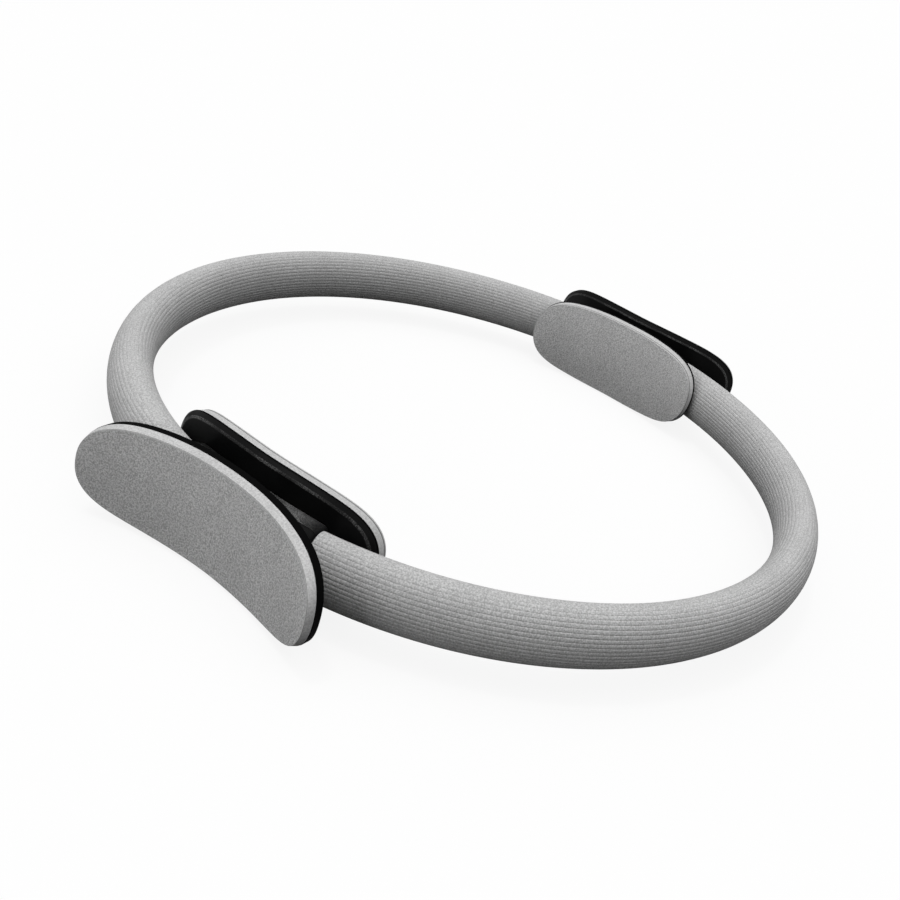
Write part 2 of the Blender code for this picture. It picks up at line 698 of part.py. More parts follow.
def main():
    for item in list(bpy.data.objects):
        bpy.data.objects.remove(item)
    looks = {
        "foam": material("sleeve_foam", (0.56, 0.56, 0.56), 0.85),
        "pad": material("pad_foam", (0.52, 0.52, 0.52), 0.90),
        "shell": material("shell_plastic", (0.010, 0.010, 0.011), 0.38),
        "steel": material("spring_steel", (0.30, 0.31, 0.33), 0.35, 1.0),
        "screw": material("screw_steel", (0.45, 0.45, 0.46), 0.30, 1.0),
    }
    near_handle = carrier("near_handle", ring_point(math.pi))
    left_far = build_side("left", False, near_handle, looks)
    right_far = build_side("right", True, near_handle, looks)
    far_handle = carrier("far_handle", ring_point(HANDLE_HINGE_ANGLE), left_far)
    right_far_end = carrier("right_far_end", ring_point(-HANDLE_HINGE_ANGLE), right_far)
    build_handle("near", True, near_handle, {"left": near_handle, "right": near_handle}, looks)
    build_handle("far", False, far_handle, {"left": far_handle, "right": right_far_end}, looks)
    bpy.context.view_layer.update()
    for item in bpy.data.objects:
        if item.type == "EMPTY":
            place = item.matrix_world.translation
            print("carrier", item.name, [round(value, 6) for value in place])


main()
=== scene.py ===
# %% [markdown]
# A squeeze ring for pilates, dressed for its portrait.
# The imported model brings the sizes, the bodies and the hinges. This lesson makes the surfaces that
# are seen: a ribbed foam sleeve all round, black mouldings at the two handles, and foam pads on them.

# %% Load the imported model
import json
import math

import bpy
from mathutils import Matrix, Vector


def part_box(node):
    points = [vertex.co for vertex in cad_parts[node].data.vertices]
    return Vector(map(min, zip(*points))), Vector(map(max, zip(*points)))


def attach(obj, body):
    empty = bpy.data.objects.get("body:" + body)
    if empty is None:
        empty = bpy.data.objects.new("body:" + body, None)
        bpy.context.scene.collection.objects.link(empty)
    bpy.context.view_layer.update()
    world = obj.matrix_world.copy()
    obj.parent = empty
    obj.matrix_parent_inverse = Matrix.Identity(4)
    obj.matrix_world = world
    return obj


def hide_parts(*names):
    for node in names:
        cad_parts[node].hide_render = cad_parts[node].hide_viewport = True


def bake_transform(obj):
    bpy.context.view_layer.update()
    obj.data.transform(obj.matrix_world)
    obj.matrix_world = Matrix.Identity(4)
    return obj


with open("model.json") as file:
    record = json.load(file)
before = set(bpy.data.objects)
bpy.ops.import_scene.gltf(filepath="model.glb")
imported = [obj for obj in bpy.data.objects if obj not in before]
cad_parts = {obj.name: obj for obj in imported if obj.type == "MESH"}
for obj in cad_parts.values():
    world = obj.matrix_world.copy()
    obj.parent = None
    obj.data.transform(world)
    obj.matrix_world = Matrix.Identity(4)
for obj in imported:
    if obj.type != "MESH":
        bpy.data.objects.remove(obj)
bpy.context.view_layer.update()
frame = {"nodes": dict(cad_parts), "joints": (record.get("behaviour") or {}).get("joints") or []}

# %% [markdown]
# The ring lies flat. X runs from the near handle to the far one, Y across it and Z up.
# Its centreline is an oval, so every place on it is an angle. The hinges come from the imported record,
# and their height is the middle height of the ring.

# %% The ring's line
RING_HALF_LENGTH = 0.1837
RING_HALF_WIDTH = 0.1794

hinges = {joint["name"]: joint for joint in frame["joints"]}
HANDLE_HINGE = Vector(hinges["far_handle_bend"]["pos_m"])
SIDE_HINGE = Vector(hinges["left_far_side_bend"]["pos_m"])
MID_HEIGHT = HANDLE_HINGE.z


def ring_normal(angle):
    """The direction square to the centreline, away from the ring's middle."""
    return Vector((RING_HALF_WIDTH * math.cos(angle), RING_HALF_LENGTH * math.sin(angle), 0.0)).normalized()


def ring_point(angle, outward=0.0, height=0.0):
    """A point so far outward of the centreline and over its middle plane."""
    normal = ring_normal(angle)
    x = RING_HALF_LENGTH * math.cos(angle) + outward * normal.x
    y = RING_HALF_WIDTH * math.sin(angle) + outward * normal.y
    return Vector((x, y, MID_HEIGHT + height))


def ring_angle(point):
    """The angle of a point on or near the centreline."""
    return math.atan2(point.y / RING_HALF_WIDTH, point.x / RING_HALF_LENGTH)


def ring_step(angle, distance):
    """The angle that a distance along the centreline covers near this angle."""
    return distance / math.hypot(RING_HALF_LENGTH * math.sin(angle), RING_HALF_WIDTH * math.cos(angle))


def spread(start, end, steps):
    """Evenly spaced values from start to end, both included."""
    return [start + (end - start) * i / steps for i in range(steps + 1)]


HANDLE_HINGE_ANGLE = ring_angle(HANDLE_HINGE)
SIDE_HINGE_ANGLE = ring_angle(SIDE_HINGE)
print("handle hinge at", round(math.degrees(HANDLE_HINGE_ANGLE), 2), "degrees,",
      "side hinge at", round(math.degrees(SIDE_HINGE_ANGLE), 2), "degrees")

# %% [markdown]
# The camera stands where the photographer stood: low over the near handle, and rolled to one side.
# The picture is 900 pixels square, so the lens is the focal length in pixels scaled to the sensor,
# and a small shift moves the ring to its place in the frame.

# %% The camera
PICTURE_WIDTH = 900.0
FOCAL_LENGTH_PX = 1153.46
MIDDLE_RIGHT_PX = 27.253
MIDDLE_DOWN_PX = -33.402
SENSOR_MM = 36.0
CAMERA_AZIMUTH = -1.09726
CAMERA_ELEVATION = 0.44677
CAMERA_ROLL = 0.31258
CAMERA_DISTANCE = 0.62510

back = Vector((
    math.sin(CAMERA_AZIMUTH) * math.cos(CAMERA_ELEVATION),
    -math.cos(CAMERA_AZIMUTH) * math.cos(CAMERA_ELEVATION),
    math.sin(CAMERA_ELEVATION),
))
level = Vector((0.0, 0.0, 1.0)).cross(back).normalized()
upward = back.cross(level)
across = math.cos(CAMERA_ROLL) * level + math.sin(CAMERA_ROLL) * upward
over = math.cos(CAMERA_ROLL) * upward - math.sin(CAMERA_ROLL) * level

bpy.ops.object.select_all(action="DESELECT")
bpy.ops.object.camera_add()
camera = bpy.context.active_object
camera.name = "camera"
aim = Matrix((across, over, back)).transposed().to_4x4()
aim.translation = back * CAMERA_DISTANCE + Vector((0.0, 0.0, MID_HEIGHT))
camera.matrix_world = aim
camera.data.sensor_width = SENSOR_MM
camera.data.lens = FOCAL_LENGTH_PX / PICTURE_WIDTH * SENSOR_MM
camera.data.shift_x = -MIDDLE_RIGHT_PX / PICTURE_WIDTH
camera.data.shift_y = MIDDLE_DOWN_PX / PICTURE_WIDTH
camera.data.clip_start = 0.01
bpy.context.scene.camera = camera
print("camera lens", round(camera.data.lens, 2), "mm")

# %% [markdown]
# Materials are trees of nodes. These small helpers add a node, join two sockets and do one step of
# sums or of colour mixing, so that each finish below reads as a short list of steps.

# %% Helpers for node trees
def new_material(name):
    """A material with a plain Principled BSDF, and its node tree."""
    made = bpy.data.materials.new(name)
    made.use_nodes = True
    return made, made.node_tree


def add_node(tree, kind, **values):
    """A new node with some of its own settings."""
    node = tree.nodes.new(kind)
    for key, value in values.items():
        setattr(node, key, value)
    return node


def wire(tree, source, target):
    """A link from an output socket to an input socket, or a plain value set on the input."""
    if isinstance(source, bpy.types.NodeSocket):
        tree.links.new(source, target)
    else:
        target.default_value = source


def sums(tree, operation, first, second=0.0):
    """The output of a Math node. The inputs are sockets or numbers."""
    node = add_node(tree, "ShaderNodeMath", operation=operation)
    wire(tree, first, node.inputs[0])
    wire(tree, second, node.inputs[1])
    return node.outputs[0]


def ramp(tree, value, low, high, to_low=0.0, to_high=1.0):
    """Where a value goes from low to high, the output goes from to_low to to_high, and stays there."""
    node = add_node(tree, "ShaderNodeMapRange", interpolation_type="SMOOTHSTEP")
    wire(tree, value, node.inputs["Value"])
    for socket, number in zip(("From Min", "From Max", "To Min", "To Max"), (low, high, to_low, to_high)):
        wire(tree, number, node.inputs[socket])
    return node.outputs["Result"]


def mix_colour(tree, share, first, second, blend_type="MIX"):
    """The output of a colour Mix node. Each input is a socket or a value."""
    node = add_node(tree, "ShaderNodeMix", data_type="RGBA", blend_type=blend_type)
    wire(tree, share, node.inputs["Factor"])
    wire(tree, first, node.inputs[6])
    wire(tree, second, node.inputs[7])
    return node.outputs[2]


def grey(value, blue=0.0):
    """A neutral colour, with a touch of blue where asked."""
    return (value, value, value + blue, 1.0)


# %% [markdown]
# The photograph is a cut-out on white. The floor is a plain white sheet. It stays white to the
# camera and in reflections, but it throws back little light on the ring's underside, which is dark in
# the photograph. The light is a pale sky, bright overhead and dim towards the horizon, with a lamp
# above and a wide weak one low on the left. So the top of the tube is light and its underside dark,
# and the two pads that face left are lit a little more than the sides of the tube.

# %% The floor and the light
FLOOR_HALF_SIZE = 20.0
FLOOR_SHADE = 0.12
FLOOR_BOUNCE = 0.02
SKY_AT_HORIZON = 0.09
SKY_OVERHEAD = 1.46
LAMPS = {
    "overhead_lamp": (0.42, math.radians(9.0), (-0.156, 0.242, 0.958)),
    "side_lamp": (0.54, math.radians(30.0), (-0.919, 0.334, 0.208)),
}


def shown_white(tree):
    """A mask of the rays that see the background: those of the camera, of gloss and of glass."""
    ray = add_node(tree, "ShaderNodeLightPath")
    seen = sums(tree, "ADD", ray.outputs["Is Camera Ray"], ray.outputs["Is Glossy Ray"])
    seen = sums(tree, "ADD", seen, ray.outputs["Is Transmission Ray"])
    return sums(tree, "MINIMUM", seen, 1.0)


bpy.ops.mesh.primitive_plane_add(size=2 * FLOOR_HALF_SIZE)
floor = bpy.context.active_object
floor.name = "floor"
paper, tree = new_material("white_paper")
surface = tree.nodes["Principled BSDF"]
shown = shown_white(tree)
wire(tree, mix_colour(tree, shown, grey(FLOOR_BOUNCE), grey(FLOOR_SHADE)), surface.inputs["Base Color"])
wire(tree, mix_colour(tree, shown, grey(0.0), grey(1.0 - FLOOR_SHADE)), surface.inputs["Emission Color"])
surface.inputs["Roughness"].default_value = 0.95
surface.inputs["Specular IOR Level"].default_value = 0.0
surface.inputs["Emission Strength"].default_value = 1.0
floor.data.materials.append(paper)

world = bpy.data.worlds.new("studio")
world.use_nodes = True
bpy.context.scene.world = world
tree = world.node_tree
sky = tree.nodes["Background"]
direction = add_node(tree, "ShaderNodeSeparateXYZ")
wire(tree, add_node(tree, "ShaderNodeTexCoord").outputs["Generated"], direction.inputs["Vector"])
rise = sums(tree, "MAXIMUM", direction.outputs["Z"], 0.0)
dome = mix_colour(tree, sums(tree, "MULTIPLY", rise, rise), grey(SKY_AT_HORIZON), grey(SKY_OVERHEAD))
wire(tree, mix_colour(tree, shown_white(tree), dome, grey(1.0)), sky.inputs["Color"])
sky.inputs["Strength"].default_value = 1.0

for name, (strength, width, towards) in LAMPS.items():
    bpy.ops.object.light_add(type="SUN", location=towards)
    lamp = bpy.context.active_object
    lamp.name = name
    lamp.data.energy = strength
    lamp.data.angle = width
    lamp.rotation_euler = Vector(towards).to_track_quat("Z", "Y").to_euler()
bpy.context.scene.view_settings.view_transform = "Standard"
print("lamps", {name: values[0] for name, values in LAMPS.items()})

# %% [markdown]
# Foam is a mass of tiny closed cells. Both foams of the ring need it, at different sizes, so it is
# a node group: a fine pebbled height for the bump, and specks and slow clouds for the colour.

# %% The grain of foam
PEBBLE_SHARE = 0.6


def new_group(name, numbers, outputs):
    """A node group with number inputs and number outputs, and its input and output nodes."""
    group = bpy.data.node_groups.new(name, "ShaderNodeTree")
    for label, value in numbers.items():
        socket = group.interface.new_socket(name=label, in_out="INPUT", socket_type="NodeSocketFloat")
        socket.default_value = value
    for label in outputs:
        group.interface.new_socket(name=label, in_out="OUTPUT", socket_type="NodeSocketFloat")
    return group, add_node(group, "NodeGroupInput"), add_node(group, "NodeGroupOutput")


def use_group(tree, group, **numbers):
    """The group placed in a material, with its own values."""
    node = add_node(tree, "ShaderNodeGroup", node_tree=group)
    for label, value in numbers.items():
        node.inputs[label.replace("_", " ").capitalize()].default_value = value
    return node


def noise(tree, place, scale, detail=2.0, roughness=0.5):
    """The value of a Noise Texture at a place."""
    node = add_node(tree, "ShaderNodeTexNoise")
    wire(tree, place, node.inputs["Vector"])
    wire(tree, scale, node.inputs["Scale"])
    node.inputs["Detail"].default_value = detail
    node.inputs["Roughness"].default_value = roughness
    return node.outputs["Fac"]


foam_grain, given, result = new_group(
    "foam_grain", {"Cell size": 0.0005, "Cloud size": 0.03}, ("Height", "Specks", "Clouds"))
place = add_node(foam_grain, "ShaderNodeTexCoord").outputs["Object"]
cell_scale = sums(foam_grain, "DIVIDE", 1.0, given.outputs["Cell size"])
cells = add_node(foam_grain, "ShaderNodeTexVoronoi", feature="F1")
wire(foam_grain, place, cells.inputs["Vector"])
wire(foam_grain, cell_scale, cells.inputs["Scale"])
pebbles = ramp(foam_grain, cells.outputs["Distance"], 0.15, 0.75, 1.0, 0.0)
rough = noise(foam_grain, place, sums(foam_grain, "MULTIPLY", cell_scale, 0.6), 3.0, 0.6)
pebble_part = sums(foam_grain, "MULTIPLY", pebbles, PEBBLE_SHARE)
rough_part = sums(foam_grain, "MULTIPLY", rough, 1.0 - PEBBLE_SHARE)
wire(foam_grain, sums(foam_grain, "ADD", pebble_part, rough_part), result.inputs["Height"])
wire(foam_grain, ramp(foam_grain, rough, 0.35, 0.65), result.inputs["Specks"])
cloud_scale = sums(foam_grain, "DIVIDE", 1.0, given.outputs["Cloud size"])
clouds = noise(foam_grain, place, cloud_scale, 3.0, 0.55)
wire(foam_grain, ramp(foam_grain, clouds, 0.3, 0.7), result.inputs["Clouds"])
print("foam grain has", len(foam_grain.nodes), "nodes")

# %% [markdown]
# Both foams are light grey. The sleeve is an extruded tube with a soft skin. The pads are cut from
# sheet: their face has a closed skin, and the cut rim shows open cells, so it is rougher.

# %% Foam finishes
CLOUD_DARKEST = 0.96
CLOUD_LIGHTEST = 1.03
FOAM_SPECULAR = 0.06
FOAM_SHEEN = 0.03
FOAM_SHEEN_ROUGHNESS = 0.6
SPECK_POLISH = 0.08


def foam(name, shade, cell_size, cloud_size, roughness, bump, speck):
    """A matt foam with its grain in the bump and its specks and clouds in the colour."""
    made, tree = new_material(name)
    grain = use_group(tree, foam_grain, cell_size=cell_size, cloud_size=cloud_size)
    clouds = mix_colour(tree, grain.outputs["Clouds"],
                        grey(shade * CLOUD_DARKEST), grey(shade * CLOUD_LIGHTEST))
    specks = mix_colour(tree, grain.outputs["Specks"], grey(1.0 - speck), grey(1.0 + speck))
    colour = mix_colour(tree, 1.0, clouds, specks, "MULTIPLY")
    surface = tree.nodes["Principled BSDF"]
    wire(tree, colour, surface.inputs["Base Color"])
    wire(tree, ramp(tree, grain.outputs["Specks"], 0.0, 1.0, roughness, roughness - SPECK_POLISH),
         surface.inputs["Roughness"])
    surface.inputs["Specular IOR Level"].default_value = FOAM_SPECULAR
    surface.inputs["Sheen Weight"].default_value = FOAM_SHEEN
    surface.inputs["Sheen Roughness"].default_value = FOAM_SHEEN_ROUGHNESS
    relief = add_node(tree, "ShaderNodeBump")
    relief.inputs["Strength"].default_value = bump
    relief.inputs["Distance"].default_value = cell_size
    wire(tree, grain.outputs["Height"], relief.inputs["Height"])
    wire(tree, relief.outputs["Normal"], surface.inputs["Normal"])
    return made


sleeve_foam = foam("sleeve_foam", 0.56, 0.00045, 0.030, 0.86, 0.20, 0.22)
pad_face_foam = foam("pad_face_foam", 0.66, 0.00042, 0.022, 0.88, 0.45, 0.30)
pad_rim_foam = foam("pad_rim_foam", 0.62, 0.00045, 0.018, 0.95, 0.25, 0.14)
pad_glue = foam("pad_glue", 0.20, 0.0005, 0.018, 0.80, 0.25, 0.20)
print("foams", [made.name for made in (sleeve_foam, pad_face_foam, pad_rim_foam, pad_glue)])

# %% [markdown]
# The handle shells are moulded in black plastic. Their backs have the mould's own low gloss. The rims
# of the plates come from a roughened mould, so they stay matt and black at a low angle too. The
# inner half of the block's crown and the corner round a plate's back carry a painted highlight: a
# speckled grey. On the crown the painted highlight fades out towards the block's ends and down its side.

# %% Black moulded plastic
moulding_grain, given, result = new_group(
    "moulding_grain", {"Grain size": 0.0002, "Patch size": 0.015}, ("Height", "Polish"))
place = add_node(moulding_grain, "ShaderNodeTexCoord").outputs["Object"]
grain_scale = sums(moulding_grain, "DIVIDE", 1.0, given.outputs["Grain size"])
wire(moulding_grain, noise(moulding_grain, place, grain_scale, 2.0), result.inputs["Height"])
patch_scale = sums(moulding_grain, "DIVIDE", 1.0, given.outputs["Patch size"])
patches = noise(moulding_grain, place, patch_scale, 4.0, 0.6)
wire(moulding_grain, ramp(moulding_grain, patches, 0.35, 0.7), result.inputs["Polish"])


# Where the painted highlight on the crown fades out: along the block, and down its side.
CROWN_HIGHLIGHT_ENDS = (0.0260, 0.0400)
CROWN_HIGHLIGHT_SIDES = (0.0090, 0.0138)
PLASTIC_RELIEF = 0.0002


def crown_highlight_share(tree):
    """The share of the painted highlight: 1 on top of a block's crown, falling to 0 towards its ends and
    lower down its sides.
    """
    place = add_node(tree, "ShaderNodeSeparateXYZ")
    wire(tree, add_node(tree, "ShaderNodeTexCoord").outputs["Object"], place.inputs["Vector"])
    along = sums(tree, "ABSOLUTE", place.outputs["Y"])
    height = sums(tree, "ABSOLUTE", sums(tree, "SUBTRACT", place.outputs["Z"], MID_HEIGHT))
    return sums(tree, "MULTIPLY", ramp(tree, along, *CROWN_HIGHLIGHT_ENDS, 1.0, 0.0), ramp(tree, height, *CROWN_HIGHLIGHT_SIDES))


def plastic(name, shade, roughness, bump, highlight_grey=0.0, on_crown=False):
    """Black moulded plastic. Where a highlight grey is given, a paler grey highlight is painted in, in
    patches and specks.
    """
    made, tree = new_material(name)
    grain = use_group(tree, moulding_grain, grain_size=0.0004, patch_size=0.018)
    surface = tree.nodes["Principled BSDF"]
    black = mix_colour(tree, grain.outputs["Polish"], grey(shade), grey(shade * 0.7, 0.0002))
    # A paler grey is painted in here as a highlight, in speckled patches.
    if highlight_grey:
        specks = ramp(tree, grain.outputs["Height"], 0.40, 0.60)
        highlight_share = sums(tree, "MULTIPLY", specks, ramp(tree, grain.outputs["Polish"], 0.0, 1.0, 1.0, 0.15))
        # On the crown the painted highlight fades out by place.
        if on_crown:
            highlight_share = sums(tree, "MULTIPLY", highlight_share, crown_highlight_share(tree))
        black = mix_colour(tree, highlight_share, black, grey(highlight_grey))
    wire(tree, black, surface.inputs["Base Color"])
    wire(tree, ramp(tree, grain.outputs["Polish"], 0.0, 1.0, roughness, roughness - 0.08),
         surface.inputs["Roughness"])
    relief = add_node(tree, "ShaderNodeBump")
    relief.inputs["Strength"].default_value = bump
    relief.inputs["Distance"].default_value = PLASTIC_RELIEF
    wire(tree, grain.outputs["Height"], relief.inputs["Height"])
    wire(tree, relief.outputs["Normal"], surface.inputs["Normal"])
    return made, surface


shell_plastic, surface = plastic("shell_plastic", 0.0060, 0.38, 0.15)
surface.inputs["Specular IOR Level"].default_value = 0.06
rim_plastic, surface = plastic("rim_plastic", 0.0035, 0.90, 0.40)
surface.inputs["Specular IOR Level"].default_value = 0.02
# Painted highlight: a speckled grey for the corner round of a plate's back.
corner_highlight_plastic, surface = plastic("corner_highlight_plastic", 0.0060, 0.42, 0.30, 0.13)
surface.inputs["Specular IOR Level"].default_value = 0.10
# Painted highlight: a speckled grey on the inner half of the block's crown.
crown_highlight_plastic, surface = plastic("crown_highlight_plastic", 0.0060, 0.42, 0.30, 0.28, True)
surface.inputs["Specular IOR Level"].default_value = 0.08
print("plastics", shell_plastic.name, rim_plastic.name, corner_highlight_plastic.name, crown_highlight_plastic.name)

# %% [markdown]
# The strips are blued spring steel and the screws are plain zinc-plated steel. Both are brushed:
# fine lines that run one way, made by stretching a noise, with a darker film of oil in places.

# %% Steel finishes
def steel(name, shade, tint, roughness, stretch):
    """Brushed steel. The stretch is how often the brushing repeats along X, Y and Z, per metre."""
    made, tree = new_material(name)
    place = add_node(tree, "ShaderNodeTexCoord").outputs["Object"]
    lines = add_node(tree, "ShaderNodeMapping")
    wire(tree, place, lines.inputs["Vector"])
    lines.inputs["Scale"].default_value = stretch
    brushed = noise(tree, lines.outputs["Vector"], 1.0, 3.0, 0.6)
    film = use_group(tree, moulding_grain, patch_size=0.008)
    surface = tree.nodes["Principled BSDF"]
    wire(tree, mix_colour(tree, film.outputs["Polish"], grey(shade * 0.7, tint), grey(shade, tint)),
         surface.inputs["Base Color"])
    wire(tree, ramp(tree, brushed, 0.3, 0.7, roughness - 0.07, roughness + 0.08), surface.inputs["Roughness"])
    surface.inputs["Metallic"].default_value = 1.0
    relief = add_node(tree, "ShaderNodeBump")
    relief.inputs["Strength"].default_value = 0.15
    relief.inputs["Distance"].default_value = 0.0001
    wire(tree, brushed, relief.inputs["Height"])
    wire(tree, relief.outputs["Normal"], surface.inputs["Normal"])
    return made


spring_steel = steel("blued_spring_steel", 0.24, 0.02, 0.34, (300.0, 300.0, 9000.0))
screw_steel = steel("zinc_plated_steel", 0.46, 0.01, 0.30, (4000.0, 4000.0, 4000.0))
steel_finishes = {"spring": spring_steel, "strap": spring_steel, "screw": screw_steel}
for name, node in frame["nodes"].items():
    for word, finish in steel_finishes.items():
        if word in name:
            node.data.materials[0] = finish
print("steel finishes", spring_steel.name, screw_steel.name)

# %% [markdown]
# Modelling helpers. An operator acts on all that is selected, so each helper first makes sure that
# only its own piece is. A turn is given a centre, because there is no window to read a pivot from,
# and for the same reason Blender turns the other way, so the angle is negated.

# %% Helpers for modelling
def only(piece):
    """Selects one piece and makes it the active one."""
    if bpy.context.object and bpy.context.object.mode != "OBJECT":
        bpy.ops.object.mode_set(mode="OBJECT")
    bpy.ops.object.select_all(action="DESELECT")
    piece.select_set(True)
    bpy.context.view_layer.objects.active = piece


def named(name):
    """Names the piece that was just added."""
    piece = bpy.context.active_object
    piece.name = name
    piece.data.name = name
    return piece


def edit(piece, action="SELECT"):
    """Opens a piece in edit mode with all of it selected, or none."""
    only(piece)
    bpy.ops.object.mode_set(mode="EDIT")
    bpy.ops.mesh.select_all(action=action)


def done():
    """Closes edit mode."""
    bpy.ops.object.mode_set(mode="OBJECT")


def settle_here(piece):
    """Applies a piece's place, turn and scale, so that its object is at the origin."""
    only(piece)
    bpy.ops.object.transform_apply(location=True, rotation=True, scale=True)


def settle(piece, location=(0.0, 0.0, 0.0), rotation=(0.0, 0.0, 0.0), scale=(1.0, 1.0, 1.0)):
    """Moves, turns and scales a piece, and applies that."""
    piece.location = location
    piece.rotation_euler = rotation
    piece.scale = scale
    settle_here(piece)


def turn_selected(angle, centre):
    """Turns what is selected about an upright axis."""
    bpy.ops.transform.rotate(value=-angle, orient_axis="Z", center_override=centre)


def remove(piece):
    """Deletes a helper object and its mesh or curve."""
    data = piece.data
    bpy.data.objects.remove(piece)
    if isinstance(data, bpy.types.Mesh):
        bpy.data.meshes.remove(data)
    else:
        bpy.data.curves.remove(data)


def apply_modifiers(piece):
    """Applies the piece's modifiers, from first to last."""
    only(piece)
    for modifier in list(piece.modifiers):
        bpy.ops.object.modifier_apply(modifier=modifier.name)


def boolean(piece, tool, operation):
    """Joins a tool to the piece, cuts it out or keeps what they share. The tool is used up."""
    modifier = piece.modifiers.new("step", "BOOLEAN")
    modifier.operation = operation
    modifier.solver = "EXACT"
    modifier.object = tool
    apply_modifiers(piece)
    remove(tool)


def face_out(piece):
    """Makes all the faces of a closed piece point outwards."""
    edit(piece)
    bpy.ops.mesh.normals_make_consistent(inside=False)
    done()


def smooth(piece, degrees):
    """Shades a piece smooth, but keeps edges that are sharper than this."""
    only(piece)
    bpy.ops.object.shade_smooth_by_angle(angle=math.radians(degrees))


def mirrored(piece, name, across_x, across_y):
    """A copy with its own mesh, mirrored through the middle of the ring."""
    only(piece)
    bpy.ops.object.duplicate(linked=False)
    copy = named(name)
    settle(copy, scale=(-1.0 if across_x else 1.0, -1.0 if across_y else 1.0, 1.0))
    if across_x != across_y:
        face_out(copy)
    return copy


def sweep(piece, angles, grow=None):
    """Stands a flat section on the ring and extrudes it from each angle to the next.

    The section is drawn flat, with X outward and Y up. Where grow gives factors, the section is
    scaled by one at each angle after the first, about the centreline.
    """
    normal = ring_normal(angles[0])
    settle(piece, ring_point(angles[0]), (math.pi / 2, 0.0, math.atan2(normal.y, normal.x)))
    edit(piece)
    for i, (angle, following) in enumerate(zip(angles, angles[1:])):
        step = ring_point(following) - ring_point(angle)
        bpy.ops.mesh.extrude_region_move(TRANSFORM_OT_translate={"value": step})
        before, after = ring_normal(angle), ring_normal(following)
        turn = math.atan2(before.cross(after).z, before.dot(after))
        turn_selected(turn, ring_point(following))
        if grow and grow[i] != (1.0, 1.0, 1.0):
            bpy.ops.transform.resize(value=grow[i], center_override=ring_point(following))
    done()
    face_out(piece)
    return piece


# %% [markdown]
# The sleeve is foam tube, extruded through a ribbed die and pressed oval by the strip inside it.
# The die is drawn the same way: one rib as a short line, repeated by an Array modifier, and laid
# round an oval by a Curve modifier, so that all forty ribs are equally wide.

# %% The ribbed section
SLEEVE_HALF_THICKNESS = 0.0107
SLEEVE_HALF_HEIGHT = 0.0152
RIB_COUNT = 40
RIB_DEPTH = 0.00035
RIB_PLACES = (0.0, 0.06, 0.16, 0.33, 0.50, 0.67, 0.84, 0.94, 1.0)
RIB_JOIN = RIB_DEPTH / 20

bpy.ops.object.select_all(action="DESELECT")
bpy.ops.curve.primitive_bezier_circle_add(radius=1.0)
oval = named("oval")
settle(oval, scale=(SLEEVE_HALF_THICKNESS, SLEEVE_HALF_HEIGHT, 1.0))
oval.data.resolution_u = 64
pitch = oval.data.splines[0].calc_length() / RIB_COUNT

bpy.ops.mesh.primitive_plane_add(size=pitch)
section = named("ribbed_section")
edit(section, "DESELECT")
done()
for vertex in section.data.vertices:
    vertex.select = vertex.co.y < 0.0
bpy.ops.object.mode_set(mode="EDIT")
bpy.ops.mesh.delete(type="VERT")
bpy.ops.mesh.select_all(action="SELECT")
bpy.ops.mesh.subdivide(number_cuts=len(RIB_PLACES) - 2)
done()
for vertex, share in zip(sorted(section.data.vertices, key=lambda v: v.co.x), RIB_PLACES):
    crest = math.sqrt(max(0.0, math.sin(math.pi * share)))
    vertex.co = (share * pitch, RIB_DEPTH * (crest - 1.0), 0.0)

ribs = section.modifiers.new("ribs", "ARRAY")
ribs.count = RIB_COUNT
ribs.use_relative_offset = False
ribs.use_constant_offset = True
ribs.constant_offset_displace = (pitch, 0.0, 0.0)
ribs.use_merge_vertices = True
ribs.merge_threshold = RIB_JOIN
pressed = section.modifiers.new("pressed_oval", "CURVE")
pressed.object = oval
apply_modifiers(section)
edit(section)
bpy.ops.mesh.remove_doubles(threshold=RIB_JOIN)
bpy.ops.mesh.edge_face_add()
done()
remove(oval)
print("ribs", RIB_COUNT, "pitch", round(1000 * pitch, 2), "mm,", len(section.data.vertices), "points")

# %% [markdown]
# Each side of the real ring has one long tube. The model bends at four hinges a side, and a piece
# can bend across one hinge only, so the tube is made of four lengths that meet where nothing turns.
# A length is swept round the ring, its end at the block is rounded over, and the slot for the steel
# strip is cut through it. A very short step at each meeting place keeps the shading in one line.

# %% Lengths of sleeve
BLOCK_HALF_LENGTH = 0.0400
BLOCK_TO_SLEEVE = 0.0005
SPRING_THICKNESS = 0.0016
SPRING_HEIGHT = 0.0200
SPRING_CLEARANCE = 0.0003
END_ROUNDING = 0.0008
END_SCALE = 0.93
LEAST_TURN = 0.002
SEAM_STEP = 0.00005
SLEEVE_STEP = 0.0022
CUT_PAST = 0.0020

BLOCK_ANGLE = math.asin(BLOCK_HALF_LENGTH / RING_HALF_WIDTH)
SLEEVE_START = BLOCK_ANGLE + ring_step(BLOCK_ANGLE, BLOCK_TO_SLEEVE)
SEAM_ANGLE = (HANDLE_HINGE_ANGLE + SIDE_HINGE_ANGLE) / 2


def way(start, end):
    """The angles from one place to another in steps of about the sleeve's step."""
    length = (ring_point(start) - ring_point(end)).length
    return spread(start, end, round(length / SLEEVE_STEP))


def seamed(angles, at_start):
    """The same angles with a very short step at the last one, and at the first one if asked."""
    last = angles[-1] - ring_step(angles[-1], SEAM_STEP)
    first = [angles[0] + ring_step(angles[0], SEAM_STEP)] if at_start else []
    return [angles[0], *first, *angles[1:-1], last, angles[-1]]


def rectangle(name, inner, outer, half_height):
    """A flat rectangular section between two distances from the centreline."""
    bpy.ops.object.select_all(action="DESELECT")
    bpy.ops.mesh.primitive_plane_add(size=1.0)
    piece = named(name)
    settle(piece, ((inner + outer) / 2, 0.0, 0.0), scale=(outer - inner, 2 * half_height, 1.0))
    return piece


def copy_section(name):
    """A copy of the ribbed section to sweep."""
    only(section)
    bpy.ops.object.duplicate(linked=False)
    return named(name)


